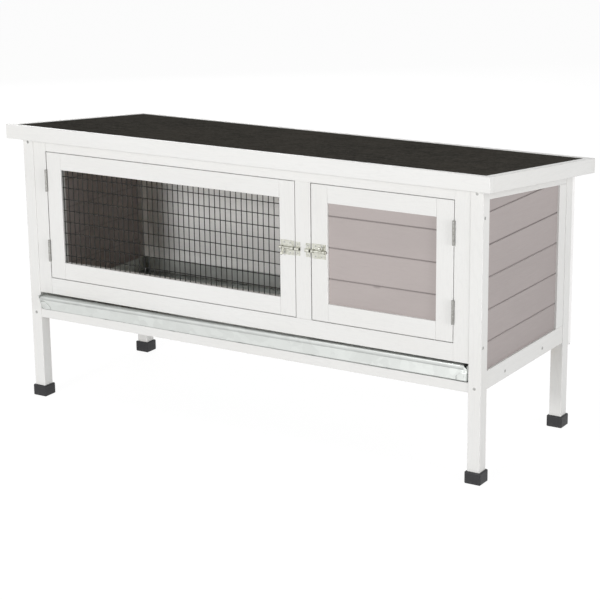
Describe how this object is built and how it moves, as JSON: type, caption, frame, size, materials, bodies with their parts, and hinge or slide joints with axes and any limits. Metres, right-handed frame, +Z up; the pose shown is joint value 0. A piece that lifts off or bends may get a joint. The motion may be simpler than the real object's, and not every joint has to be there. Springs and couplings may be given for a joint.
{
  "type": "rabbit hutch",
  "caption": "Raised timber rabbit hutch with a mesh-doored run, a boarded den, slide bolts, a pull-out metal tray and a felted roof that slopes down to the back.",
  "frame": {"origin": "under the middle of the roof, at the level of the floor that the feet stand on", "axes": "+X to the right as seen from the front, +Y from the doors to the back wall, +Z up"},
  "size_m": [1.16, 0.49, 0.6179],
  "materials": {
    "white_paint": "white satin paint on planed pine",
    "taupe_paint": "taupe grey wood stain on tongue-and-groove pine",
    "plywood": "plain plywood",
    "plain_pine": "plain planed pine",
    "mineral_felt": "black mineral roofing felt",
    "foot_cap_plastic": "moulded black plastic",
    "mesh_wire": "black coated welded steel wire",
    "galvanised_sheet": "galvanised sheet, satin",
    "screw_steel": "dark screw heads",
    "zinc_fittings": "bright zinc-plated fittings"
  },
  "bodies": {
    "hutch": {"back_boards": "white_paint", "bolt_keepers": "zinc_fittings", "divider_panel": "plywood", "foot_cap_front_left": "foot_cap_plastic", "foot_cap_front_right": "foot_cap_plastic", "foot_cap_rear_left": "foot_cap_plastic", "foot_cap_rear_right": "foot_cap_plastic", "frame_screws": "screw_steel", "front_bottom_rail": "white_paint", "front_fascia": "white_paint", "front_left_board": "white_paint", "front_left_post": "white_paint", "front_right_board": "white_paint", "front_right_post": "white_paint", "front_top_rail": "white_paint", "hinge_frame_leaves": "zinc_fittings", "hinge_pins": "zinc_fittings", "left_fascia": "white_paint", "left_side_boards": "taupe_paint", "left_side_bottom_rail": "white_paint", "left_side_rear_stile": "white_paint", "left_side_top_rail": "white_paint", "lower_front_rail": "white_paint", "middle_stile": "white_paint", "rear_fascia": "white_paint", "rear_left_post": "white_paint", "rear_right_post": "white_paint", "right_fascia": "white_paint", "right_side_boards": "taupe_paint", "right_side_bottom_rail": "white_paint", "right_side_rear_stile": "white_paint", "right_side_top_rail": "white_paint", "roof_board": "plywood", "roof_felt": "mineral_felt", "tray_runners": "plain_pine"},
    "left_door": {"left_door_bolt_stile": "white_paint", "left_door_bottom_rail": "white_paint", "left_door_hinge_leaves": "zinc_fittings", "left_door_hinge_stile": "white_paint", "left_door_mesh": "mesh_wire", "left_door_screws": "screw_steel", "left_door_top_rail": "white_paint", "left_bolt_plate": "zinc_fittings"},
    "right_door": {"right_door_boards": "taupe_paint", "right_door_bolt_stile": "white_paint", "right_door_bottom_rail": "white_paint", "right_door_hinge_leaves": "zinc_fittings", "right_door_hinge_stile": "white_paint", "right_door_screws": "screw_steel", "right_door_top_rail": "white_paint", "right_bolt_plate": "zinc_fittings"},
    "tray": {"tray": "galvanised_sheet", "tray_rivets": "galvanised_sheet"},
    "left_bolt": {"left_bolt_rod": "zinc_fittings"},
    "right_bolt": {"right_bolt_rod": "zinc_fittings"}
  },
  "joints": [
    {"name": "left_door_hinge", "type": "hinge", "parent": "hutch", "child": "left_door", "pos_m": [-0.494, -0.2218, 0.42], "axis": [0, 0, -1], "range_deg": [0, 175]},
    {"name": "right_door_hinge", "type": "hinge", "parent": "hutch", "child": "right_door", "pos_m": [0.494, -0.2218, 0.42], "axis": [0, 0, 1], "range_deg": [0, 175]},
    {"name": "tray_slide", "type": "slide", "parent": "hutch", "child": "tray", "axis": [0, -1, 0], "range_m": [0, 0.36]},
    {"name": "left_bolt_slide", "type": "slide", "parent": "left_door", "child": "left_bolt", "axis": [1, 0, 0], "range_m": [0, 0.012]},
    {"name": "right_bolt_slide", "type": "slide", "parent": "right_door", "child": "right_bolt", "axis": [-1, 0, 0], "range_m": [0, 0.012]}
  ]
}
